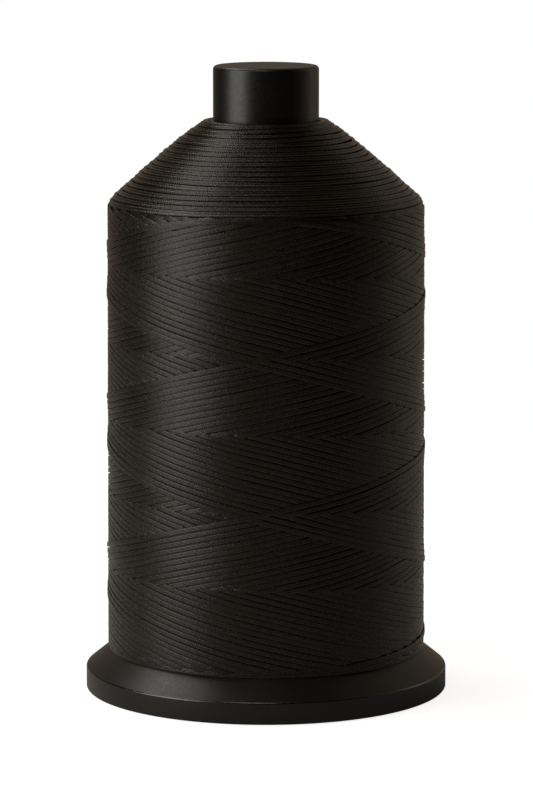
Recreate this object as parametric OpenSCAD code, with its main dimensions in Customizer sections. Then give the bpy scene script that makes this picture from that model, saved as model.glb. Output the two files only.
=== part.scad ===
// Waxed thread spool: a foot flange, a barrel and a neck cap, all moulded plastic,
// with a cross-wound package of waxed thread on the barrel.
// Millimetres, +Z up, origin in the middle of the face that the spool stands on.

/* [Overall] */
// Height from the foot to the top of the cap
total_h = 131; // [108:0.5:160]
// Facets of the round moulded surfaces
round_fn = 96; // [48:12:144]

/* [Thread package] */
// Outer diameter of the wound thread
package_d = 66.4; // [54:0.2:82]
// Height of bare cap that stands above the thread
neck_h = 11.3; // [8:0.1:18]
// Slope of the package's shoulder, from level
shoulder_angle = 41; // [35:0.1:48]
// Width of the level ring of thread around the cap
crown_w = 3; // [1:0.1:4]

/* [Foot flange] */
// How far the rim stands out past the thread
flange_lip = 4.8; // [3.6:0.1:8]
// Height of the upright rim
rim_h = 4.4; // [3:0.1:8]
// Thickness of the upright rim
rim_wall = 2.4; // [1.6:0.1:4]
// Slope of the skirt that carries the thread, from level
skirt_angle = 35; // [30:1:42]
// Thickness of the skirt
skirt_wall = 1.8; // [1.2:0.1:2.4]
// Radius that the skirt rolls over with, down to the rim
roll_r = 4; // [2:0.1:5]
// Slope of that roll where it meets the rim, from level
roll_angle = 65; // [55:1:75]
// Rounding of the rim's edges
edge_r = 0.35; // [0.2:0.05:0.8]
// Stiffening ribs under the skirt
rib_count = 8; // [4:1:12]
// Thickness of a rib
rib_t = 1.2; // [0.8:0.1:2]
// Depth of a rib below the skirt
rib_h = 2.4; // [1.5:0.1:4]
// Wall of the collar that grips the barrel
collar_wall = 2; // [1.4:0.1:3]
// Length of the collar
collar_h = 8; // [5:0.5:14]

/* [Barrel] */
// Diameter of the spindle bore
bore_d = 16; // [13:0.1:20]
// Wall of the barrel
barrel_wall = 1.5; // [1.2:0.1:2.5]
// Gap between the barrel's lower end and the table
barrel_lift = 1; // [0.5:0.1:2]
// Bevel at the ends of the bore and of the barrel
lead_in = 0.6; // [0.3:0.1:1]
// How far the stop ring stands out of the barrel
stop_out = 1.1; // [0.6:0.1:1.8]
// Thickness of the stop ring
stop_h = 1.6; // [1:0.1:3]

/* [Neck cap] */
// Side wall of the cap
cap_wall = 1.45; // [1.1:0.05:3]
// Thickness of the cap's top
cap_top = 1.6; // [1.2:0.1:3]
// Rounding of the cap's top edge
cap_round = 0.8; // [0.4:0.1:1.1]
// How far the cap's skirt reaches down inside the thread
cap_grip = 4.6; // [3:0.2:8]

/* [Wound thread] */
// Diameter of the thread as it is drawn
strand_d = 1.2; // [0.9:0.1:1.4]
// Turns of the cross winding round the body
body_loops = 23; // [15:4:23]
// Turns of the winding on the shoulder
shoulder_loops = 6; // [4:1:7]
// Free gap between the two layers of the cross winding
layer_gap = 0.6; // [0.6:0.1:1.2]

/* [Fits] */
// Radial clearance of the cap and the collar on the barrel
slide_fit = 0.05; // [0.02:0.01:0.1]
// Clearance round the thread
soft_clear = 0.3; // [0.2:0.05:0.5]

/* [Hidden] */
$fn = round_fn;
plastic = "#2a2927";
thread_dark = "#353330";
thread_light = "#4a4743";

// Radii, from the bore outwards
bore_r = bore_d / 2;
barrel_r = bore_r + barrel_wall;
neck_r = barrel_r + slide_fit + cap_wall;
collar_bore_r = barrel_r + slide_fit;
collar_r = collar_bore_r + collar_wall;
package_r = package_d / 2;
flange_r = package_r + flange_lip;
overlap = 0.5;
edge_steps = 6;
roll_steps = 8;

// The skirt's roll: small edge at the rim, then an arc up to where the straight cone starts
edge_back = edge_r * tan((90 - roll_angle) / 2);
roll_foot = [flange_r - edge_back * cos(roll_angle), rim_h + edge_back * sin(roll_angle)];
roll_centre = roll_foot - roll_r * [sin(roll_angle), cos(roll_angle)];
cone_start = roll_centre + roll_r * [sin(skirt_angle), cos(skirt_angle)];

// Heights: the skirt's conical outer face, and the package's shoulder
function skirt_z(r) = cone_start.y + (cone_start.x - r) * tan(skirt_angle);
function skirt_under_z(r) = skirt_z(r) - skirt_wall / cos(skirt_angle);
package_top = total_h - neck_h;
crown_r = neck_r + crown_w;
function shoulder_z(r) = package_top - (max(r, crown_r) - crown_r) * tan(shoulder_angle);
collar_top = skirt_z(collar_r) + overlap;
collar_low = collar_top - collar_h;
barrel_top = total_h - cap_top;
cap_low = package_top - cap_grip;

// The cross winding: up strokes lie on the inner level, down strokes over them
strand_r = strand_d / 2;
strand_sides = 6;
rings_per_loop = 24;
winding_cycles = 4;
outer_r = package_r - strand_r;
inner_r = outer_r - strand_d - layer_gap;
chord_sag = outer_r * (1 - cos(180 / rings_per_loop));
stroke_turns = body_loops / winding_cycles / 2;
turn_back = 0.08;
level_turns = 0.09;
// Lowest height at which a strand of a given radius lies clear of the skirt
function skirt_rest_z(r) = skirt_z(r - chord_sag) + (strand_r + soft_clear) / cos(skirt_angle);
low_z = skirt_rest_z(outer_r);
high_z = shoulder_z(outer_r) - strand_r / cos(shoulder_angle);
rise_per_turn = (high_z - low_z) / (stroke_turns - turn_back);

// The core that the winding lies on, and the holes that its ends are tucked into
core_r = inner_r - strand_r - chord_sag - soft_clear;
core_drop = (strand_d + soft_clear) / cos(shoulder_angle) + chord_sag;
bend_r = 1.5;
tuck_run = 1.5 * strand_d;
tuck_hole_r = strand_r + soft_clear;
tuck_hole_fn = 24;
tuck_reach = 4;
bend_rings = 5;

// The shoulder winding spirals in from beside the corner to beside the cap
spiral_out_r = inner_r - strand_r;
spiral_in_r = neck_r + soft_clear + tuck_hole_r + overlap;

// ---- curves ----

function unit(v) = v / norm(v);
function mix(a, b, k) = a + (b - a) * k;
function ease(x) = x <= 0 ? 0 : x >= 1 ? 1 : x * x * (3 - 2 * x);
function polar(r, turns, z) = [r * cos(360 * turns), r * sin(360 * turns), z];
function arc(x, y, r, from, to, steps) =
    [for (i = [0:steps]) let (a = mix(from, to, i / steps)) [x + r * cos(a), y + r * sin(a)]];

// Height gained at a given number of turns from a reversal, with the corner rounded
function climb(turns) = turns >= turn_back
    ? turns - turn_back / 2
    : turns * turns / (2 * turn_back);

// The thread's centre line on the body, at t turns from the foot
function body_point(t) =
    let (f = t - 2 * stroke_turns * floor(t / (2 * stroke_turns)))
    let (from_low = min(f, 2 * stroke_turns - f))
    let (z = from_low < stroke_turns / 2
        ? low_z + rise_per_turn * climb(from_low)
        : high_z - rise_per_turn * climb(stroke_turns - from_low))
    let (sunk = ease(f / level_turns) - ease((f - stroke_turns + level_turns) / level_turns))
    let (r = mix(outer_r, inner_r, sunk))
    polar(r, t, max(z, skirt_rest_z(r)));

// The thread's centre line on the shoulder, from k = 0 outside to k = 1 at the cap
function shoulder_point(k) =
    let (r = mix(spiral_out_r, spiral_in_r, k))
    polar(r, k * shoulder_loops, shoulder_z(r) - strand_r / cos(shoulder_angle));

// A bend out of the line and a straight run into the tuck hole, as [place, side] pairs
function tuck(p, along, inward, side) = concat(
    [for (i = [1:bend_rings]) let (a = 90 * i / bend_rings)
        [p + bend_r * (sin(a) * along + (1 - cos(a)) * inward), side]],
    [[p + bend_r * along + (bend_r + tuck_run) * inward, side]]);
function flip(list) = [for (i = [len(list) - 1:-1:0]) list[i]];

// A whole strand: tucked end, wound part, tucked end, as [place, side] pairs
function strand_path(points, inward) =
    let (n = len(points))
    let (way = [for (i = [0:n - 1]) unit(points[min(i + 1, n - 1)] - points[max(i - 1, 0)])])
    let (side = [for (i = [0:n - 1]) unit(cross(way[i], inward[i]))])
    concat(
        flip(tuck(points[0], -way[0], inward[0], side[0])),
        [for (i = [0:n - 1]) [points[i], side[i]]],
        tuck(points[n - 1], way[n - 1], inward[n - 1], side[n - 1]));

// The ends are tucked in half way between the first two crossings after a reversal
tuck_turns = 0.75 / winding_cycles;
body_start = tuck_turns;
body_end = body_loops - tuck_turns;
body_rings = round((body_end - body_start) * rings_per_loop);
body_points = [for (i = [0:body_rings]) body_point(mix(body_start, body_end, i / body_rings))];
body_inward = [for (p = body_points) -unit([p.x, p.y, 0])];

spiral_rings = shoulder_loops * rings_per_loop;
spiral_points = [for (i = [0:spiral_rings]) shoulder_point(i / spiral_rings)];
spiral_inward = [for (i = [0:spiral_rings]) let (p = spiral_points[i])
    unit(mix(-unit([p.x, p.y, 0]), [0, 0, -1], ease(i / spiral_rings)))];

// ---- gap of a strand to itself ----

function limit(x) = max(0, min(1, x));
// Below this the two segments count as parallel
parallel = 1e-6;
// Shortest distance between the segments a-b and c-d
function segment_gap(a, b, c, d) =
    let (u = b - a)
    let (v = d - c)
    let (w = a - c)
    let (uv = u * v)
    let (den = (u * u) * (v * v) - uv * uv)
    let (s0 = den < parallel ? 0 : limit((uv * (v * w) - (v * v) * (u * w)) / den))
    let (k = limit((uv * s0 + v * w) / (v * v)))
    let (s = limit((uv * k - u * w) / (u * u)))
    norm(w + s * u - k * v);
// Least gap between stretches at least half a turn apart, on the points of the centre line
function least_gap(pts) =
    let (n = len(pts))
    let (near = 2 * norm(pts[floor(n / 2)] - pts[floor(n / 2) + 1]))
    min([for (i = [0:n - 2]) for (j = [i + rings_per_loop / 2:1:n - 2])
        if (norm(pts[i] - pts[j]) < near) segment_gap(pts[i], pts[i + 1], pts[j], pts[j + 1])])
    - strand_d;

// ---- shared shapes ----

// A tube of strand_sides sides along [place, side] pairs, closed at both ends
module strand(path) {
    n = len(path);
    m = strand_sides;
    way = [for (i = [0:n - 1]) unit(path[min(i + 1, n - 1)][0] - path[max(i - 1, 0)][0])];
    side = [for (i = [0:n - 1]) unit(path[i][1] - (path[i][1] * way[i]) * way[i])];
    up = [for (i = [0:n - 1]) cross(side[i], way[i])];
    ring_points = [for (i = [0:n - 1]) for (j = [0:m - 1]) let (a = 360 * j / m)
        path[i][0] + strand_r * (cos(a) * side[i] + sin(a) * up[i])];
    walls = [for (i = [0:n - 2]) for (j = [0:m - 1]) for (half = [0, 1])
        let (a = i * m + j)
        let (b = i * m + (j + 1) % m)
        half == 0 ? [a, b, b + m] : [a, b + m, a + m]];
    first_cap = [for (j = [1:m - 2]) [0, j + 1, j]];
    last_cap = [for (j = [1:m - 2]) [(n - 1) * m, (n - 1) * m + j, (n - 1) * m + j + 1]];
    polyhedron(points = ring_points, faces = concat(walls, first_cap, last_cap), convexity = 10);
}

// The hole that a strand's end is tucked into: bottom flush with the end, open outwards
module tuck_hole(p, along, inward) {
    bottom = p + bend_r * along + (bend_r + tuck_run) * inward;
    out = -inward;
    tilt = acos(out.z);
    turn = atan2(out.y, out.x);
    translate(bottom) rotate([0, tilt, turn]) cylinder(r = tuck_hole_r, h = tuck_reach, $fn = tuck_hole_fn);
}

// The two tuck holes of a wound strand
module tuck_holes(points, inward) {
    n = len(points);
    tuck_hole(points[0], unit(points[0] - points[1]), inward[0]);
    tuck_hole(points[n - 1], unit(points[n - 1] - points[n - 2]), inward[n - 1]);
}

// ---- pieces ----

// Foot flange: upright rim, skirt that rolls over to a cone under the thread, collar, ribs
module base_flange() {
    inner_rim_r = flange_r - rim_wall;
    foot_edge = arc(flange_r - edge_r, edge_r, edge_r, -90, 0, edge_steps);
    rim_edge = arc(flange_r - edge_r, rim_h - edge_back, edge_r, 0, 90 - roll_angle, edge_steps);
    roll = arc(roll_centre.x, roll_centre.y, roll_r, 90 - roll_angle, 90 - skirt_angle, roll_steps);
    color(plastic) {
        rotate_extrude() polygon(concat(
            [[inner_rim_r, 0]],
            foot_edge,
            rim_edge,
            [for (i = [1:roll_steps]) roll[i]],
            [[collar_r, skirt_z(collar_r)], [collar_r, collar_top]],
            [[collar_bore_r, collar_top], [collar_bore_r, collar_low], [collar_r, collar_low]],
            [[collar_r, skirt_under_z(collar_r)], [inner_rim_r, skirt_under_z(inner_rim_r)]]));
        for (i = [0:rib_count - 1]) rotate([0, 0, 360 * (i + 0.5) / rib_count]) under_rib();
    }
}

// One rib under the skirt, running down its slope from the collar to the rim
module under_rib() {
    from_r = collar_r - overlap;
    to_r = flange_r - rim_wall + overlap;
    foot_r = to_r - overlap - rib_h;
    rotate([90, 0, 0]) translate([0, 0, -rib_t / 2]) linear_extrude(rib_t) polygon([
        [from_r, skirt_under_z(from_r) - rib_h],
        [foot_r, skirt_under_z(foot_r) - rib_h],
        [to_r, skirt_under_z(to_r) - overlap],
        [to_r, skirt_under_z(to_r) + overlap],
        [from_r, skirt_under_z(from_r) + overlap]]);
}

// Barrel: plain tube with a spindle bore, bevelled ends and the stop ring under the collar
module barrel() {
    stop_r = barrel_r + stop_out;
    color(plastic) rotate_extrude() polygon([
        [bore_r + lead_in, barrel_lift],
        [barrel_r - lead_in / 2, barrel_lift],
        [barrel_r, barrel_lift + lead_in / 2],
        [barrel_r, collar_low - stop_h - stop_out],
        [stop_r, collar_low - stop_h],
        [stop_r, collar_low],
        [barrel_r, collar_low],
        [barrel_r, barrel_top - lead_in],
        [barrel_r - lead_in / 2, barrel_top],
        [bore_r, barrel_top],
        [bore_r, barrel_lift + lead_in]]);
}

// Neck cap: closed top with a rounded edge, and a skirt that slides over the barrel
module neck_cap() {
    hole_r = barrel_r + slide_fit;
    color(plastic) rotate_extrude() difference() {
        union() {
            translate([0, cap_low]) square([neck_r, total_h - cap_low - cap_round]);
            translate([0, cap_low]) square([neck_r - cap_round, total_h - cap_low]);
            translate([neck_r - cap_round, total_h - cap_round]) intersection() {
                circle(cap_round);
                square(cap_round);
            }
        }
        translate([0, cap_low]) square([hole_r, barrel_top - cap_low]);
        polygon([[0, cap_low], [hole_r + lead_in / 2, cap_low], [hole_r, cap_low + lead_in / 2]]);
    }
}

// Wound thread under the outer layer, as one solid: coned below on the skirt, sloped above
module thread_core() {
    hole_r = barrel_r + soft_clear;
    collar_gap_r = collar_r + soft_clear;
    cap_gap_r = neck_r + soft_clear;
    core_low = function (r) skirt_z(r) + soft_clear / cos(skirt_angle);
    core_high = function (r) shoulder_z(r) - core_drop;
    color(thread_dark) difference() {
        rotate_extrude() polygon([
            [core_r, core_low(core_r)],
            [core_r, core_high(core_r)],
            [crown_r, core_high(crown_r)],
            [cap_gap_r, core_high(crown_r)],
            [cap_gap_r, cap_low - soft_clear],
            [hole_r, cap_low - soft_clear],
            [hole_r, collar_top + soft_clear],
            [collar_gap_r, collar_top + soft_clear],
            [collar_gap_r, core_low(collar_gap_r)]]);
        tuck_holes(body_points, body_inward);
        tuck_holes(spiral_points, spiral_inward);
    }
}

// Outer layer round the body: one unbroken strand, up on the inner level and down over it
module body_winding() {
    echo(str("body winding, least gap to itself: ", least_gap(body_points), " mm"));
    color(thread_light) strand(strand_path(body_points, body_inward));
}

// Outer layer on the shoulder: one unbroken strand that spirals in to the cap
module shoulder_winding() {
    echo(str("shoulder winding, least gap to itself: ", least_gap(spiral_points), " mm"));
    color(thread_light) strand(strand_path(spiral_points, spiral_inward));
}

base_flange();
barrel();
neck_cap();
thread_core();
body_winding();
shoulder_winding();
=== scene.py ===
import math
import bmesh
import bpy
import numpy as np
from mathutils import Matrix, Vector


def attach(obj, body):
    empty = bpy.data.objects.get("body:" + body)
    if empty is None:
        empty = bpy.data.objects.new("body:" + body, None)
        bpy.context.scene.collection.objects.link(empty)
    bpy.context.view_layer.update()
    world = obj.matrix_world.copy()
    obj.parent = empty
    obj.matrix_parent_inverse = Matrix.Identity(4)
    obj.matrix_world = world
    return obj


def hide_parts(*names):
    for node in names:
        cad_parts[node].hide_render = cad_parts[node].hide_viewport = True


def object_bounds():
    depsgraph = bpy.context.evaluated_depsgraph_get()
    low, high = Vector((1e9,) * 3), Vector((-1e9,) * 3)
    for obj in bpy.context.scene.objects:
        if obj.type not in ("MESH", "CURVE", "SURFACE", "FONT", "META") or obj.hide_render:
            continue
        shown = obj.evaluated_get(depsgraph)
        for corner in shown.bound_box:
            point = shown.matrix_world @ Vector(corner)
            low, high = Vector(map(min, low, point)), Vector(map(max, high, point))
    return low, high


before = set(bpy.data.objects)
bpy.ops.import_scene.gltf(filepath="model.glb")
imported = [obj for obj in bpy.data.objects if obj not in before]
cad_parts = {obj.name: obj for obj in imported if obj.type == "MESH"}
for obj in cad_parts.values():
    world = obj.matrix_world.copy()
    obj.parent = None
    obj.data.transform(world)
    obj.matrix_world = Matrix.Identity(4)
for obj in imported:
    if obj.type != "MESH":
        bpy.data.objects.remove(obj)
cadLow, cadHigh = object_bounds()
mm = 0.001  # Blender works in metres, the sizes below are in millimetres
rng = np.random.default_rng(7)  # one seed, so that every run winds the same spool


def linear(hexColour):
    # one sRGB hex colour turned to linear red, green, blue and alpha 1
    parts = [int(hexColour[i:i + 2], 16) / 255 for i in (1, 3, 5)]
    return tuple(c / 12.92 if c <= 0.04045 else ((c + 0.055) / 1.055) ** 2.4 for c in parts) + (1.0,)


def addObject(name, data):
    added = bpy.data.objects.new(name, data)
    bpy.context.scene.collection.objects.link(added)
    return added


def addNode(tree, kind, inputs=None, **settings):
    # a node with its settings; an input that is given a socket is linked, any other value is set
    node = tree.nodes.new(kind)
    for name, value in settings.items():
        setattr(node, name, value)
    for name, value in (inputs or {}).items():
        if isinstance(value, bpy.types.NodeSocket):
            tree.links.new(value, node.inputs[name])
        else:
            node.inputs[name].default_value = value
    return node


def newMaterial(name):
    material = bpy.data.materials.new(name)
    material.use_nodes = True
    material.node_tree.nodes.clear()
    return material, material.node_tree


def easeStep(x):
    # 0 below 0, 1 above 1, and between them three times the square less twice the cube
    x = np.clip(x, 0, 1)
    return x * x * (3 - 2 * x)


def slowWander(along, size, wavelength):
    # random values one wavelength apart, between minus and plus the size, joined by s-curves
    knots = rng.uniform(-1, 1, int(along.max() / wavelength) + 3)
    place = along / wavelength
    whole = np.floor(place).astype(int)
    share = easeStep(place - whole)
    return size * (knots[whole] * (1 - share) + knots[whole + 1] * share)


camera = {"lens": 180, "place": (0.0001, -0.829, 0.190), "pitchDown": 8.856}  # metres and degrees

cameraData = bpy.data.cameras.new("camera")
cameraData.lens = camera["lens"]
cameraObject = addObject("camera", cameraData)
cameraObject.location = camera["place"]
cameraObject.rotation_euler = (math.radians(90 - camera["pitchDown"]), 0, 0)
bpy.context.scene.camera = cameraObject
print("camera placed")


package = {
    "radius": 33.4,          # outside of the thread at the foot
    # how far the side leans in, in degrees, by distance up it: nearly upright, over the rounded corner, up
    # the shoulder that bellies out a little, and level at the crown
    "leanUp": (0, 101.23, 104.57, 109.0, 115.3, 120.8, 124.5, 126.4, 128.4, 129.4),
    "leanDegrees": (0.23, 0.23, 47.8, 47.8, 48.9, 50.1, 53.3, 55.1, 56, 90),
    "crownStart": 128.4,     # distance up the side at which the shoulder begins to turn level
    "profileEnd": 136, "profileStep": 0.02,
}


def packageProfile():
    # the side of the package by distance up it; radius and height are the running sums of the lean's sine
    # and cosine
    step = package["profileStep"]
    up = np.arange(0, package["profileEnd"], step)
    lean = np.radians(np.interp(up, package["leanUp"], package["leanDegrees"]))
    radius = package["radius"] - np.cumsum(np.sin(lean)) * step
    height = np.cumsum(np.cos(lean)) * step
    return up, radius, height, lean


profileUp, profileRadius, profileHeight, profileLean = packageProfile()


def onPackage(up, angle, depth):
    # the point at a distance up the side, an angle round from the front, and a depth below the surface,
    # with the direction out of the surface there
    lean = np.interp(up, profileUp, profileLean)
    outRadius, outHeight = np.cos(lean), np.sin(lean)
    radius = np.interp(up, profileUp, profileRadius) - depth * outRadius
    height = np.interp(up, profileUp, profileHeight) - depth * outHeight
    point = np.stack([radius * np.sin(angle), -radius * np.cos(angle), height], -1)
    out = np.stack([outRadius * np.sin(angle), -outRadius * np.cos(angle), outHeight], -1)
    return point, out


flatSection = np.array([
    # across from -1 to 1, and out from -1 to 1: a flat braid, rounded along its upper edges, whose sides
    # lean in below them
    (0.93, 0.0), (0.99, 0.55), (1.0, 0.75), (0.97, 0.89), (0.90, 0.97), (0.76, 1.0), (0.0, 0.98), (-0.76, 1.0),
    (-0.90, 0.97), (-0.97, 0.89), (-1.0, 0.75), (-0.99, 0.55), (-0.93, 0.0), (-0.74, -0.95), (0.74, -0.95),
])
roundSection = np.array([
    # the same braid where it runs level and tight: rounder, with a clear middle line
    (1.0, 0.0), (0.98, 0.38), (0.91, 0.68), (0.76, 0.91), (0.52, 1.0), (0.22, 0.86), (0.0, 0.66), (-0.22, 0.86),
    (-0.52, 1.0), (-0.76, 0.91), (-0.91, 0.68), (-0.98, 0.38), (-1.0, 0.0), (-0.85, -0.75), (0.0, -1.0),
    (0.85, -0.75),
])


def strandRings(points, outward, width, thickness, roll, section):
    # the section carried along the path: each ring is the path's point, plus across times x, plus out times
    # y, where x and y are the section's times half the width and half the thickness, turned by the roll
    way = np.gradient(points, axis=0)
    way /= np.linalg.norm(way, axis=1, keepdims=True)
    out = outward - (outward * way).sum(1, keepdims=True) * way
    out /= np.linalg.norm(out, axis=1, keepdims=True)
    across = np.cross(out, way)
    flat, tall = section.T
    rollCos, rollSin = np.cos(roll)[:, None], np.sin(roll)[:, None]
    x = flat * (np.broadcast_to(width, roll.shape)[:, None] / 2)
    y = tall * (np.broadcast_to(thickness, roll.shape)[:, None] / 2)
    x, y = x * rollCos - y * rollSin, x * rollSin + y * rollCos
    rings = points[:, None, :] + across[:, None, :] * x[:, :, None] + out[:, None, :] * y[:, :, None]
    along = np.concatenate([[0], np.cumsum(np.linalg.norm(np.diff(points, axis=0), axis=1))])
    return rings, along, flat


def tubeMesh(name, rings, along, across, material, body, slot):
    # a tube from rings of points, closed with one flat face at each end; its map holds the length along it
    # in millimetres and the place across it from 0 to 1
    count, sides = rings.shape[:2]
    ring, side = np.meshgrid(np.arange(count - 1), np.arange(sides), indexing="ij")
    nextSide = (side + 1) % sides
    corners = [ring * sides + side, (ring + 1) * sides + side,
               (ring + 1) * sides + nextSide, ring * sides + nextSide]
    quads = np.stack(corners, -1).reshape(-1, 4)
    startFace = np.arange(sides)
    endFace = (count - 1) * sides + np.arange(sides)[::-1]
    loops = np.concatenate([quads.ravel(), startFace, endFace])
    starts = np.concatenate([np.arange(len(quads)) * 4, [len(quads) * 4, len(quads) * 4 + sides]])
    mesh = bpy.data.meshes.new(name)
    mesh.vertices.add(count * sides)
    mesh.vertices.foreach_set("co", (rings.reshape(-1) * mm).astype(np.float32))
    mesh.loops.add(len(loops))
    mesh.loops.foreach_set("vertex_index", loops.astype(np.int32))
    mesh.polygons.add(len(starts))
    mesh.polygons.foreach_set("loop_start", starts.astype(np.int32))
    mesh.polygons.foreach_set("use_smooth", np.ones(len(starts), bool))
    mesh.update(calc_edges=True)
    mapped = np.stack([np.repeat(along, sides), np.tile(across * 0.5 + 0.5, count)], -1)[loops]
    mesh.uv_layers.new(name="alongThread").data.foreach_set("uv", mapped.astype(np.float32).ravel())
    mesh.validate()
    mesh.materials.append(material)
    piece = addObject(name, mesh)
    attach(piece, body)
    return piece


waxedThread = {
    "darkYarn": "#0b0906", "paleYarn": "#211d16", "waxBloom": "#2d2821",
    "yarns": 4,              # side by side across the braid
    "plaitPitch": 0.5,       # millimetres from one plait to the next
    "plaitDip": 0.35,        # how much of its height a yarn keeps where it dips under the next
    "plaitFull": 0.6,        # the wave's value from which a yarn is at its full height
    "outOfStep": 0.5,        # plaits by which each yarn is behind its neighbour
    # how many cells of noise there are in a millimetre. A single fibre is 0.02 mm thick, too fine to show,
    # so the fibres are drawn as tufts 0.4 mm across
    "strayPerMm": 1.1, "fibresPerMm": 2.3, "waxPerMm": 0.42,
    "fibreRange": (0.35, 0.65), "fibreHeight": 1.2,
    "waxRange": (0.55, 0.75), "waxMost": 0.35,   # only the noise's peaks carry pale wax, and that thinly
    "relief": 0.03,          # millimetres from a plait's crown down to its edge
    "roughness": 0.22, "rougher": 0.12, "smoother": 0.06, "shine": 0.38,
}


def makeWaxedThread():
    # waxed braided polyester, a flat braid drawn through wax: near black, with a soft satin shine on the
    # crown of each strand, broken into small plaits laid like bricks, with fibres and a little pale wax
    # here and there
    thread = waxedThread
    material, tree = newMaterial("waxed_braided_polyester")
    uv = addNode(tree, "ShaderNodeUVMap", uv_map="alongThread")
    place = addNode(tree, "ShaderNodeSeparateXYZ", {0: uv.outputs[0]})
    here = addNode(tree, "ShaderNodeTexCoord")
    stray = addNode(tree, "ShaderNodeTexNoise", {"Vector": here.outputs["Object"],
                                                 "Scale": thread["strayPerMm"] / mm, "Detail": 1.0})
    # four yarns side by side, each a parabola across; each dips at every plait, half a plait behind the one
    # before
    yarns = addNode(tree, "ShaderNodeMath", {0: place.outputs["Y"], 1: thread["yarns"]},
                    operation="MULTIPLY")
    yarn = addNode(tree, "ShaderNodeMath", {0: yarns.outputs[0]}, operation="FLOOR")
    across = addNode(tree, "ShaderNodeMath", {0: yarns.outputs[0]}, operation="FRACT")
    fromMiddle = addNode(tree, "ShaderNodeMath", {0: across.outputs[0], 1: 2.0, 2: -1.0},
                         operation="MULTIPLY_ADD")
    square = addNode(tree, "ShaderNodeMath", {0: fromMiddle.outputs[0], 1: fromMiddle.outputs[0]},
                     operation="MULTIPLY")
    ridge = addNode(tree, "ShaderNodeMath", {0: 1.0, 1: square.outputs[0]}, operation="SUBTRACT")
    step = addNode(tree, "ShaderNodeMath", {0: yarn.outputs[0], 1: thread["outOfStep"], 2: stray.outputs[0]},
                   operation="MULTIPLY_ADD")
    turns = addNode(tree, "ShaderNodeMath", {0: place.outputs["X"], 1: 1 / thread["plaitPitch"],
                                             2: step.outputs[0]}, operation="MULTIPLY_ADD")
    angle = addNode(tree, "ShaderNodeMath", {0: turns.outputs[0], 1: 2 * math.pi}, operation="MULTIPLY")
    wave = addNode(tree, "ShaderNodeMath", {0: angle.outputs[0]}, operation="SINE")
    plait = addNode(tree, "ShaderNodeMapRange", {"Value": wave.outputs[0], "From Min": -1.0,
                                                 "From Max": thread["plaitFull"], "To Min": thread["plaitDip"]})
    height = addNode(tree, "ShaderNodeMath", {0: plait.outputs[0], 1: ridge.outputs[0]},
                     operation="MULTIPLY")
    fuzz = addNode(tree, "ShaderNodeTexNoise", {"Vector": here.outputs["Object"], "Detail": 2.0,
                                                "Scale": thread["fibresPerMm"] / mm, "Roughness": 0.6})
    wax = addNode(tree, "ShaderNodeTexNoise", {"Vector": here.outputs["Object"], "Detail": 4.0,
                                               "Scale": thread["waxPerMm"] / mm, "Roughness": 0.65})
    waxFrom, waxTo = thread["waxRange"]
    bloom = addNode(tree, "ShaderNodeMapRange", {"Value": wax.outputs[0], "From Min": waxFrom,
                                                 "From Max": waxTo, "To Max": thread["waxMost"]})
    # a Mix node has one A and one B for each kind of value: 6 and 7 are the colours
    fibreFrom, fibreTo = thread["fibreRange"]
    fibres = addNode(tree, "ShaderNodeMapRange", {"Value": fuzz.outputs[0], "From Min": fibreFrom,
                                                  "From Max": fibreTo})
    shade = addNode(tree, "ShaderNodeMix", {0: fibres.outputs[0], 6: linear(thread["darkYarn"]),
                                           7: linear(thread["paleYarn"])}, data_type="RGBA")
    waxed = addNode(tree, "ShaderNodeMix", {0: bloom.outputs[0], 6: shade.outputs[2],
                                           7: linear(thread["waxBloom"])}, data_type="RGBA")
    rough = addNode(tree, "ShaderNodeMapRange", {"Value": fuzz.outputs[0], "From Min": fibreFrom,
                                                 "From Max": fibreTo,
                                                 "To Min": thread["roughness"] + thread["rougher"],
                                                 "To Max": thread["roughness"] - thread["smoother"]})
    rise = addNode(tree, "ShaderNodeMath", {0: fuzz.outputs[0], 1: thread["fibreHeight"],
                                            2: height.outputs[0]}, operation="MULTIPLY_ADD")
    bump = addNode(tree, "ShaderNodeBump", {"Strength": 1.0, "Distance": thread["relief"] * mm,
                                            "Height": rise.outputs[0]})
    shader = addNode(tree, "ShaderNodeBsdfPrincipled", {"Base Color": waxed.outputs[2],
                                                        "Roughness": rough.outputs[0],
                                                        "Specular IOR Level": thread["shine"],
                                                        "Normal": bump.outputs[0]})
    addNode(tree, "ShaderNodeOutputMaterial", {"Surface": shader.outputs[0]})
    return material


mouldedPlastic = {
    "colour": "#0a0a08", "worn": "#100f0c",
    # cells of noise in a millimetre: a blasted tool's grain is 0.1 mm, too fine to show, so it is drawn 0.5
    # mm across
    "grainPerMm": 1.9, "cloudPerMm": 0.06,
    "grainRange": (0.3, 0.7), "roughnessSpread": 0.05,
    "relief": 0.02, "reliefStrength": 0.25,
    "roughness": 0.36, "shine": 0.5,
    "rubbedRoughness": 0.26, "rubbedShine": 0.85,
}


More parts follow.
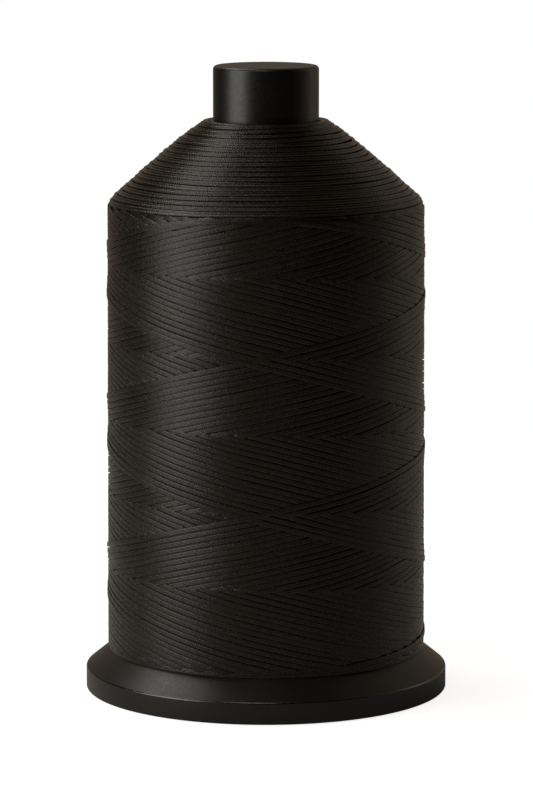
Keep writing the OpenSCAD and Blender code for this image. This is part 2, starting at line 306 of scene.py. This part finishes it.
def makeMouldedPlastic(name, roughness, shine):
    # black polystyrene, injection moulded in a lightly blasted tool: deep black with a warm cast and an
    # even satin shine, broken by a very fine mottle
    plastic = mouldedPlastic
    material, tree = newMaterial(name)
    here = addNode(tree, "ShaderNodeTexCoord")
    grain = addNode(tree, "ShaderNodeTexNoise", {"Vector": here.outputs["Object"],
                                                 "Scale": plastic["grainPerMm"] / mm, "Detail": 3.0})
    cloud = addNode(tree, "ShaderNodeTexNoise", {"Vector": here.outputs["Object"],
                                                 "Scale": plastic["cloudPerMm"] / mm, "Detail": 4.0})
    tint = addNode(tree, "ShaderNodeMix", {0: cloud.outputs[0], 6: linear(plastic["colour"]),
                                           7: linear(plastic["worn"])}, data_type="RGBA")
    grainFrom, grainTo = plastic["grainRange"]
    rough = addNode(tree, "ShaderNodeMapRange", {"Value": grain.outputs[0], "From Min": grainFrom,
                                                 "From Max": grainTo,
                                                 "To Min": roughness - plastic["roughnessSpread"],
                                                 "To Max": roughness + plastic["roughnessSpread"]})
    bump = addNode(tree, "ShaderNodeBump", {"Strength": plastic["reliefStrength"],
                                            "Distance": plastic["relief"] * mm, "Height": grain.outputs[0]})
    shader = addNode(tree, "ShaderNodeBsdfPrincipled", {"Base Color": tint.outputs[2],
                                                        "Roughness": rough.outputs[0],
                                                        "Specular IOR Level": shine, "Normal": bump.outputs[0]})
    addNode(tree, "ShaderNodeOutputMaterial", {"Surface": shader.outputs[0]})
    return material


threadMaterial = makeWaxedThread()
spoolPlastic = makeMouldedPlastic("moulded_black_polystyrene", mouldedPlastic["roughness"],
                                  mouldedPlastic["shine"])
# the same where hands and shelves have rubbed an edge: it draws a thin bright line
rubbedPlastic = makeMouldedPlastic("rubbed_black_polystyrene", mouldedPlastic["rubbedRoughness"],
                                   mouldedPlastic["rubbedShine"])
for nodeName in ("base_flange", "barrel", "neck_cap"):
    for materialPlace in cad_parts[nodeName].material_slots:
        materialPlace.material = spoolPlastic
print("materials made")


# the crossed winding on the straight side. Distances are millimetres, spreads and reaches are turns, and an
# angle in radians is measured round from the front to the right
crossWinding = {
    "climb": 31.8,           # rise for each turn of the warped angle
    "strands": 26,           # strands in that rise, and strokes up and down
    "middle": 73.4,          # distance up at which strand 0 crosses the front
    "front": math.radians(-7), "warp": (0.7, 0.05),
    "topSpread": 0.2,        # turns over which the newest stroke rounds over at the shoulder
    "spreadLoss": 0.15, "spreadLeast": 0.25,   # older strands round over more sharply, so they turn higher up
    "footSpread": 0.03,
    "footTurn": 9.05, "footTurns": 1.2,        # height and number of the level turns at the foot
    "comesOut": 0.40, "comesOutOver": 0.2,     # the angle where the newest strand comes out from below
    "slowClimb": 0.3675, "slowStart": -0.54, "slowUntil": 5.0,   # its slow start: a parabola from this angle
    "catchUpFrom": 1.05, "catchUpOver": 3.3,   # and where it catches up with the even climb
    "dipNear": 0.35, "dipOver": 0.5, "dipUntil": 4.8,            # how near the others dip under that start
    "width": 1.09, "thickness": 0.72,
    "levelDrop": 0.45,       # how much lower a strand runs where another passes over it
    "shoulderDrop": 1.6, "shoulderFrom": 101.6, "shoulderOver": 1.4,   # levels down below the shoulder
    "shingle": 1.5,          # degrees: each strand lies with one edge on the strand wound before it
    "shingleOver": 0.02, "crowdedShingle": 1.5, "crowdedOver": 0.2,
    "proud": (0.22, 0.154, 0.088),   # how far the three newest strands stand out
    "early": 2,              # a strand goes under this many strands more than its number
    "levelStart": 0.05,      # crossings before the first of a group at which the level changes
    "goesUnder": 0.5, "comesUp": 0.8,          # and the crossings that the change takes
    "pastEnd": 3,            # crossings beyond a stroke's end to which a level is held
    "emergeReach": 0.12, "emergeAfter": 0.06, "footTuck": 0.015,
    "sideSag": (0.5, 2.1), "sagPower": 1.5,    # how much lower the winding runs at the left and right sides
    "sagTop": 102, "sagOver": 16, "sagFoot": 9, "sagFootOver": 10,
    "meanRadius": 33,        # turns an angle into a length for the wander below, each a size and a wavelength
    "heightWander": (0.07, 26), "heightTremble": (0.045, 8), "depthWander": (0.03, 11),
    "rollWander": (1.2, 14), "widthWander": (0.05, 23),
    "samples": 6000, "ringsPerStroke": 318, "tailRings": 240, "tailTuck": 0.04,
    "turnWeight": 90, "levelWeight": 5,        # how closely rings follow turns and changes of level
    "pieces": 3,
}


def warpedAngle(angle):
    # the climb is steeper at the front than at the back: the angle plus a share of its sine, less a small
    # share of the sine of three times it
    a = angle - crossWinding["front"]
    once, thrice = crossWinding["warp"]
    return a + once * np.sin(a) - thrice * np.sin(3 * a)


# a table that leads from the warped angle back to the angle
angleTable = np.linspace(-5 * math.pi, 7 * math.pi, 24001)
warpTable = warpedAngle(angleTable)

# where stroke 0 leaves the foot, brought forward two turns so that it lies near the front
angleStart = np.interp(-4 * math.pi - math.pi / crossWinding["strands"], warpTable, angleTable) + 4 * math.pi


def ownSpread(j):
    # the turns over which strand j rounds over at the shoulder: the older it is, the fewer
    return crossWinding["topSpread"] * max(1 - crossWinding["spreadLoss"] * j, crossWinding["spreadLeast"])


def shiftAtShoulder(j, turnsBelow):
    # by how many crossings strand j meets the newest one sooner going up, or later going down, where that
    # one has begun to round over: the drop of each below the even climb, over the rate at which the two
    # close in
    spread, own = crossWinding["topSpread"], ownSpread(j)
    drop = spread * max(1 - turnsBelow / spread, 0) ** 2 - own * max(1 - turnsBelow / own, 0) ** 2
    return crossWinding["strands"] * drop / (1 + min(turnsBelow / spread, 1))


def underShare(q, j, rising):
    # 1 where a strand lies under the strands that cross it, 0 where it lies over them. Crossing number q is
    # made with the other way's strand q modulo the strand count. A rising strand j passes under the falling
    # strands below j plus a few, and over the others; in the first half turn above the foot all falling
    # strands lie on top. The level changes at a crossing, so that the strand on top mostly hides it.
    w = crossWinding
    n = w["strands"]
    share = np.zeros_like(q)
    for turn in range(-5, 4):
        start = turn * n - w["levelStart"]
        if rising:
            end = turn * n + min(j + w["early"], n) - 1
            if turn == -3 and j > 0:
                start = j - 4 * n - w["pastEnd"]
            if turn == 2:
                start -= shiftAtShoulder(j, j / (2 * n))
                end += w["pastEnd"]
        else:
            end = turn * n + j - w["early"]
            if turn == -1:
                start += shiftAtShoulder(j, (n - j) / (2 * n))
        if end > start and not (j == 0 and rising) and not (turn == -2 and not rising):
            under = easeStep((q - start) / w["goesUnder"] + 0.5)
            share = np.maximum(share, under - easeStep((q - end) / w["comesUp"] + 0.5))
    return share


def roundedPeak(turns, spread):
    # the distance in turns from a reversal, rounded to a parabola within the spread
    return np.where(turns > spread, turns, (turns * turns + spread * spread) / (2 * spread))


def footHeight():
    # two turns' rise and half a strand's share of one below the middle
    w = crossWinding
    return w["middle"] - 2 * w["climb"] - w["climb"] / (2 * w["strands"])


def crossStroke(j, rising):
    # one stroke between two reversals; stroke 0 is the newest, and each rising one was wound after its
    # falling one
    w = crossWinding
    n = w["strands"]
    if rising:
        qEnds = (j - 4 * n - 1, j + 2 * n)
    else:
        qEnds = (j - 2 * n, j + 4 * n + 1)
    q = np.linspace(*qEnds, w["samples"])
    angle = np.interp((q + j) * math.pi / n, warpTable, angleTable)
    under = underShare(q, j, rising)
    density = np.gradient(angle) / (2 * math.pi) * w["turnWeight"]
    density = density + np.abs(np.gradient(under)) * w["levelWeight"]
    count = np.cumsum(density)
    q = np.interp(np.linspace(count[0], count[-1], w["ringsPerStroke"]), count, q)
    angle = np.interp((q + j) * math.pi / n, warpTable, angleTable)
    under = underShare(q, j, rising)
    turnsLeft, turnsDone = (qEnds[1] - q) / (2 * n), (q - qEnds[0]) / (2 * n)
    toTop, toFoot = (turnsLeft, turnsDone) if rising else (turnsDone, turnsLeft)
    fromTop = w["middle"] + w["climb"] - w["climb"] * roundedPeak(toTop, ownSpread(j))
    fromFoot = footHeight() + w["climb"] * roundedPeak(toFoot, w["footSpread"])
    nearTop = toTop < toFoot
    up = np.where(nearTop, fromTop, fromFoot)
    # at the shoulder each strand comes out from under the newer ones as it turns over, and at the foot it
    # goes back under
    if j > 0:
        reach, after = min(j / (2 * n), w["emergeReach"]), w["emergeAfter"]
        turned = np.where(nearTop, -toTop if rising else toTop, math.inf)
        emerging = 1 - easeStep((turned + reach) / (reach + after))
        turning = (turned > -reach) & (turned < after)
        under = np.where(turning, np.maximum(emerging, under if rising else 0), under)
    if not rising:
        under = np.maximum(under, 1 - easeStep(toFoot / w["footTuck"]))
    # newer strands lie above older ones on the way up and below them on the way down, so the overlap
    # changes sides, and where they crowd together under the shoulder it is steeper
    shingle = (-1 if rising else 1) * np.clip(np.minimum(toTop, toFoot) / w["shingleOver"], 0, 1)
    shingle = shingle * (1 + w["crowdedShingle"] * (1 - easeStep(toTop / w["crowdedOver"])))
    proud = np.full_like(up, w["proud"][j] if j < len(w["proud"]) else 0.0)
    return up, angle, under, shingle, proud


def newestAtFoot(angle):
    # the newest strand leaves the foot slowly, over the falling strands, and catches up with its neighbours
    # behind: a parabola of the warped angle there, blended into the even climb
    w = crossWinding
    warped = warpedAngle(angle)
    slow = w["footTurn"] + w["slowClimb"] * np.maximum(warped - w["slowStart"], 0) ** 2
    even = footHeight() + w["climb"] * (warped / (2 * math.pi) + 0.5 / w["strands"])
    return slow + (even - slow) * easeStep((angle - w["catchUpFrom"]) / w["catchUpOver"])


def windBody():
    w = crossWinding
    # the newest end: its tail comes out from below, makes level turns at the foot and rises as stroke 0
    newest = np.array(crossStroke(0, True))
    turned = newest[1] - newest[1, 0] + angleStart
    slow = turned < angleStart + w["slowUntil"]
    newest[0, slow] = newestAtFoot(turned[slow])
    newest[2, slow] = 1 - easeStep((turned[slow] - w["comesOut"]) / w["comesOutOver"])
    share = np.linspace(0, 1, w["tailRings"])
    tail = np.zeros((len(newest), len(share)))
    # it climbs in its last fifth
    tail[0] = w["footTurn"] + (newest[0, 0] - w["footTurn"]) * easeStep(share * 5 - 4)
    tail[1] = newest[1, 0] - (1 - share) * 2 * math.pi * w["footTurns"]
    tail[2] = 2 - easeStep(share / w["tailTuck"])  # from two levels down
    tail[4] = newest[4, 0]
    strokes = [tail]
    for j in range(w["strands"]):
        for rising in (True, False):
            stroke = newest if rising and j == 0 else np.array(crossStroke(j, rising))
            stroke[1] += strokes[-1][1, -1] - stroke[1, 0]
            strokes.append(stroke[:, 1:])
    up, angle, under, shingle, proud = np.concatenate(strokes, axis=1)
    # the others dip under the newest strand's slow start
    around = np.mod(angle - angleStart, 2 * math.pi) + angleStart
    apart = np.abs(up - newestAtFoot(around))
    dip = 1 - easeStep((apart - w["dipNear"]) / w["dipOver"])
    dip *= easeStep((around - w["comesOut"]) / w["comesOutOver"]) * (around < angleStart + w["dipUntil"])
    dip[:len(share) + newest.shape[1]] = 0
    under = np.maximum(under, dip)
    # under the level turns of the shoulder all lie deep
    under = np.maximum(under, w["shoulderDrop"] * easeStep((up - w["shoulderFrom"]) / w["shoulderOver"]))
    along = np.concatenate([[0], np.cumsum(np.abs(np.diff(angle)) * w["meanRadius"])])
    # the whole winding runs a little lower at the two sides, except where it turns, and as the sag spreads
    # the strands apart there they are drawn wider
    sag = np.where(np.sin(angle) < 0, *w["sideSag"]) * np.abs(np.sin(angle)) ** w["sagPower"]
    fade = np.clip((w["sagTop"] - up) / w["sagOver"], 0, 1)
    stretch = 1 + sag * 6 * fade * (1 - fade) / w["sagOver"]  # the s-curve's slope is 6 x (1 - x)
    up = up - sag * easeStep(fade) * easeStep((up - w["sagFoot"]) / w["sagFootOver"])
    up = up + slowWander(along, *w["heightWander"]) + slowWander(along, *w["heightTremble"])
    depth = w["thickness"] / 2 + w["levelDrop"] * under - proud + slowWander(along, *w["depthWander"])
    roll = np.radians(w["shingle"] * shingle + slowWander(along, *w["rollWander"]))
    points, out = onPackage(up, angle, depth)
    width = w["width"] * stretch + slowWander(along, *w["widthWander"])
    return strandRings(points, out, width, w["thickness"], roll, flatSection)


# one strand, cut into pieces that stay under the limit on triangles
bodyRings, bodyAlong, bodyAcross = windBody()
cuts = np.linspace(0, len(bodyRings) - 1, crossWinding["pieces"] + 1).astype(int)
for number, (first, last) in enumerate(zip(cuts[:-1], cuts[1:]), 1):
    piece = tubeMesh(f"crossed_thread_{number}", bodyRings[first:last + 1], bodyAlong[first:last + 1],
                     bodyAcross, threadMaterial, "spool", "waxed_thread")
    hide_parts("body_winding")
print("crossed winding made", len(bodyRings), "rings")


shoulderWinding = {
    "pitch": 1.38, "firstTurn": 102.0, "pastCrown": 2.35,
    "width": 1.25, "thickness": 1.05, "ringsPerTurn": 110,
    # the drift that neighbouring turns share: for each wave its size, waves in a turn and phase
    "drift": ((0.16, 1.06, 0.4), (0.10, 2.09, 2.0), (0.07, 3.13, 4.1)),
    "meanRadius": 23,        # as above, for the wander of each turn by itself
    "heightWander": (0.09, 13), "depthWander": (0.09, 15),
    "rollWander": (8, 12), "widthWander": (0.06, 21),
    "tuck": 1.2, "tuckOver": 0.08,   # how deep both ends are tucked in, and over how much of a turn
    "roll": 6,               # degrees
}


def windShoulder():
    # a strand that goes up by one pitch a turn, from the crossed winding to the crown
    w = shoulderWinding
    turns = (package["crownStart"] + w["pastCrown"] - w["firstTurn"]) / w["pitch"]
    share = np.linspace(0, turns, int(turns * w["ringsPerTurn"]))
    angle = share * 2 * math.pi
    drift = sum(size * np.sin(angle * waves + phase) for size, waves, phase in w["drift"])
    along = angle * w["meanRadius"]
    up = w["firstTurn"] + w["pitch"] * share + drift + slowWander(along, *w["heightWander"])
    tuck = easeStep((share - turns + w["tuckOver"]) / w["tuckOver"])
    tuck = w["tuck"] * (tuck + easeStep((w["tuckOver"] - share) / w["tuckOver"]))
    depth = w["thickness"] / 2 + w["depthWander"][0] + slowWander(along, *w["depthWander"]) + tuck
    roll = np.radians(slowWander(along, *w["rollWander"]) + w["roll"])
    points, out = onPackage(up, angle, depth)
    width = w["width"] + slowWander(along, *w["widthWander"])
    return strandRings(points, out, width, w["thickness"], roll, roundSection)


shoulderPiece = tubeMesh("shoulder_thread", *windShoulder(), threadMaterial, "spool", "waxed_thread")
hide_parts("shoulder_winding")
print("shoulder winding made")


# the older layers below, seen only between strands
underLayers = {
    "foot": 9.2, "pastCrown": 1.9,             # where they begin and end, in distance up the side
    "depth": 0.38, "deeper": 0.92, "deeperFrom": 99.5, "deeperOver": 2.5,   # the shoulder's thread is thicker
    "wallRadius": 11.75, "wallFoot": 14.5,     # round the collar and the cap, from this far above the foot
    "pointsUp": 150, "pointsRound": 192,
}


def makeUnderLayers():
    # the package profile turned round the axis, at a depth under both levels of strand, joined at crown and
    # foot to a plain wall round the collar and the cap; grid of points, round by along, that closes on
    # itself both ways
    w = underLayers
    up = np.linspace(w["foot"], package["crownStart"] + w["pastCrown"], w["pointsUp"])
    angle = np.linspace(0, 2 * math.pi, w["pointsRound"], endpoint=False)
    depth = w["depth"] + w["deeper"] * easeStep((up - w["deeperFrom"]) / w["deeperOver"])
    outside = onPackage(*np.broadcast_arrays(up, angle[:, None], depth))[0]
    wall = w["wallRadius"] * np.stack([np.sin(angle), -np.cos(angle), 0 * angle], -1)[:, None, :]
    top, foot = outside[0, -1, 2], outside[0, 0, 2] + w["wallFoot"]
    inside = np.concatenate([wall + [0, 0, top], wall + [0, 0, foot]], axis=1)
    grid = np.concatenate([outside, inside], axis=1)
    count, sides = grid.shape[:2]
    i, k = np.meshgrid(np.arange(count), np.arange(sides), indexing="ij")
    nextI, nextK = (i + 1) % count, (k + 1) % sides
    corners = [i * sides + k, nextI * sides + k, nextI * sides + nextK, i * sides + nextK]
    quads = np.stack(corners, -1).reshape(-1, 4)
    mesh = bpy.data.meshes.new("under_layers")
    mesh.from_pydata((grid.reshape(-1, 3) * mm).tolist(), [], quads.tolist())
    # its map stays at the very edge of a yarn, where no plaits show
    place = np.stack([k, 0 * k], -1).reshape(-1, 2)[quads.ravel()]
    mesh.uv_layers.new(name="alongThread").data.foreach_set("uv", place.astype(np.float32).ravel())
    mesh.materials.append(threadMaterial)
    piece = addObject("under_layers", mesh)
    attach(piece, "spool")
    return piece


underPiece = makeUnderLayers()
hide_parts("thread_core")
print("under layers made")


# the flange, with the crisp small edge that the skirt meets the rim in
rimEdge = {
    "radius": 0.5, "centreRadius": 37.5, "centreHeight": 4.265,
    "coneLean": 54.2,        # degrees round the small circle from the rim to the skirt
    # the wide rounding of the CAD: which points are on it, its centre, and its degrees from the rim to the
    # skirt
    "roundedBeyond": 36.5, "roundedAbove": 4.3, "rollCentre": (34.342, 2.78),
    "rollStart": 22.9, "rollTurn": 32.1,
    "rubbedBeyond": 37.7, "rubbedAbove": 4.27,
    "mergeWithin": 0.001, "sharpAngle": 30,
}


def makeFlange():
    # a merged copy of the flange, its wide rounding at the rim drawn onto a small circle: each point keeps
    # its share of the way round, so the skirt runs straight down as a cone to an edge that catches the
    # light
    mesh = bpy.data.meshes.new("flange_crisp_edge")
    merged = bmesh.new()
    merged.from_mesh(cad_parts["base_flange"].data)
    bmesh.ops.remove_doubles(merged, verts=merged.verts, dist=rimEdge["mergeWithin"] * mm)
    merged.to_mesh(mesh)
    merged.free()
    place = np.empty(len(mesh.vertices) * 3)
    mesh.vertices.foreach_get("co", place)
    place = place.reshape(-1, 3) / mm
    radius, height = np.hypot(place[:, 0], place[:, 1]), place[:, 2]
    rounding = (radius > rimEdge["roundedBeyond"]) & (height > rimEdge["roundedAbove"])
    rollRadius, rollHeight = rimEdge["rollCentre"]
    turned = np.degrees(np.arctan2(height - rollHeight, radius - rollRadius))
    share = np.clip((turned - rimEdge["rollStart"]) / rimEdge["rollTurn"], 0, 1)
    lean = np.radians(rimEdge["coneLean"] * share)
    newRadius = rimEdge["centreRadius"] + rimEdge["radius"] * np.cos(lean)
    newHeight = rimEdge["centreHeight"] + rimEdge["radius"] * np.sin(lean)
    place[:, :2] *= np.where(rounding, newRadius / radius, 1.0)[:, None]
    place[:, 2] = np.where(rounding, newHeight, height)
    mesh.vertices.foreach_set("co", (place * mm).astype(np.float32).ravel())
    mesh.update()
    mesh.materials.clear()
    mesh.materials.append(spoolPlastic)
    mesh.materials.append(rubbedPlastic)
    centres = np.empty(len(mesh.polygons) * 3)
    mesh.polygons.foreach_get("center", centres)
    x, y, z = centres.reshape(-1, 3).T / mm
    rubbed = (np.hypot(x, y) > rimEdge["rubbedBeyond"]) & (z > rimEdge["rubbedAbove"])
    mesh.polygons.foreach_set("material_index", rubbed.astype(np.int32))
    mesh.shade_smooth()
    mesh.set_sharp_from_angle(angle=math.radians(rimEdge["sharpAngle"]))
    mesh.update()
    piece = addObject("flange_crisp_edge", mesh)
    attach(piece, "spool")
    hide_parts("base_flange")
    return piece


flangePiece = makeFlange()
print("flange made", len(flangePiece.data.vertices), "points")


# floor, world and lamps, with distances in metres
studio = {
    "floorRadius": 0.34, "floorPoints": 96, "floorGap": 0.0002,
    "floorPaint": "#cdccc8", "floorGlow": 0.86,
    "backWay": (0.5, 0.866, 0.05),             # the direction behind the spool that it mirrors at its edges
    "backRange": (-0.1, 0.8), "backGlow": (0.004, 0.215), "backTone": "#ffe7cc",
    "fill": 0.06,            # the world's light on matt surfaces
    "lampColour": "#fffaf2", "lampAim": (0, 0, 0.065),
    # for each lamp its name, the degrees round from the camera, negative to its left, the degrees up, the
    # distance, width and height, and the power
    "lamps": (
        ("left_softbox", -65, 13, 0.9, (0.64, 1.1), 6.6),
        ("top_softbox", -15, 60, 0.9, (0.3, 0.3), 0.7),
        ("back_softbox", -132, 57, 0.9, (0.42, 0.42), 2.1),
        ("right_fill", 115, 15, 1.2, (0.4, 0.8), 0.4),
    ),
}


def makeFloor():
    # a round table top, only as wide as the shadow needs, so that the black front isn't washed out by its
    # glow
    mesh = bpy.data.meshes.new("floor")
    turn = np.linspace(0, 2 * math.pi, studio["floorPoints"], endpoint=False)
    edge = studio["floorRadius"] * np.stack([np.cos(turn), np.sin(turn), 0 * turn], -1)
    mesh.from_pydata(edge.tolist(), [], [list(range(len(turn)))])
    floor = addObject("floor", mesh)
    floor.location.z = cadLow.z - studio["floorGap"]
    material, tree = newMaterial("floor")
    seen = addNode(tree, "ShaderNodeLightPath")
    paint = addNode(tree, "ShaderNodeBsdfDiffuse", {"Color": linear(studio["floorPaint"])})
    glow = addNode(tree, "ShaderNodeEmission", {"Strength": studio["floorGlow"]})
    both = addNode(tree, "ShaderNodeAddShader", {0: paint.outputs[0], 1: glow.outputs[0]})
    mixed = addNode(tree, "ShaderNodeMixShader", {0: seen.outputs["Is Camera Ray"], 1: paint.outputs[0],
                                                  2: both.outputs[0]})
    addNode(tree, "ShaderNodeOutputMaterial", {"Surface": mixed.outputs[0]})
    mesh.materials.append(material)


def makeWorld():
    # white to the camera, a faint even light to matt surfaces, and to shiny ones a glow that grows to the
    # back
    world = bpy.data.worlds.new("studio")
    bpy.context.scene.world = world
    world.use_nodes = True
    tree = world.node_tree
    tree.nodes.clear()
    seen = addNode(tree, "ShaderNodeLightPath")
    here = addNode(tree, "ShaderNodeTexCoord")
    toBack = addNode(tree, "ShaderNodeVectorMath", {0: here.outputs["Generated"], 1: studio["backWay"]},
                     operation="DOT_PRODUCT")
    rangeFrom, rangeTo = studio["backRange"]
    glowFrom, glowTo = studio["backGlow"]
    behind = addNode(tree, "ShaderNodeMapRange", {"Value": toBack.outputs["Value"], "From Min": rangeFrom,
                                                  "From Max": rangeTo, "To Min": glowFrom, "To Max": glowTo},
                     interpolation_type="SMOOTHSTEP")
    shine = addNode(tree, "ShaderNodeMath", {0: seen.outputs["Is Glossy Ray"], 1: behind.outputs[0]},
                    operation="MULTIPLY")
    plain = addNode(tree, "ShaderNodeMath", {0: seen.outputs["Is Diffuse Ray"], 1: studio["fill"]},
                    operation="MULTIPLY")
    clear = addNode(tree, "ShaderNodeMath", {0: seen.outputs["Is Camera Ray"],
                                             1: seen.outputs["Is Transmission Ray"]}, operation="MAXIMUM")
    some = addNode(tree, "ShaderNodeMath", {0: shine.outputs[0], 1: plain.outputs[0]}, operation="ADD")
    strength = addNode(tree, "ShaderNodeMath", {0: some.outputs[0], 1: clear.outputs[0]}, operation="MAXIMUM")
    tone = addNode(tree, "ShaderNodeMix", {0: clear.outputs[0], 6: linear(studio["backTone"]),
                                          7: linear("#ffffff")}, data_type="RGBA")
    back = addNode(tree, "ShaderNodeBackground", {"Color": tone.outputs[2], "Strength": strength.outputs[0]})
    addNode(tree, "ShaderNodeOutputWorld", {"Surface": back.outputs[0]})


def addLamp(name, azimuth, elevation, distance, size, power):
    # an area lamp on a sphere round the point that it is aimed at
    lampData = bpy.data.lights.new(name, "AREA")
    lampData.shape = "RECTANGLE"
    lampData.size, lampData.size_y = size
    lampData.energy = power
    lampData.color = linear(studio["lampColour"])[:3]
    lamp = addObject(name, lampData)
    a, e = math.radians(azimuth), math.radians(elevation)
    back = np.array([math.sin(a) * math.cos(e), -math.cos(a) * math.cos(e), math.sin(e)])
    lamp.location = np.array(studio["lampAim"]) + back * distance
    lamp.rotation_euler = Vector(-back).to_track_quat("-Z", "Y").to_euler()


makeFloor()
makeWorld()
for lampSettings in studio["lamps"]:
    addLamp(*lampSettings)
print("studio made")

bpy.context.scene.view_settings.view_transform = "Standard"
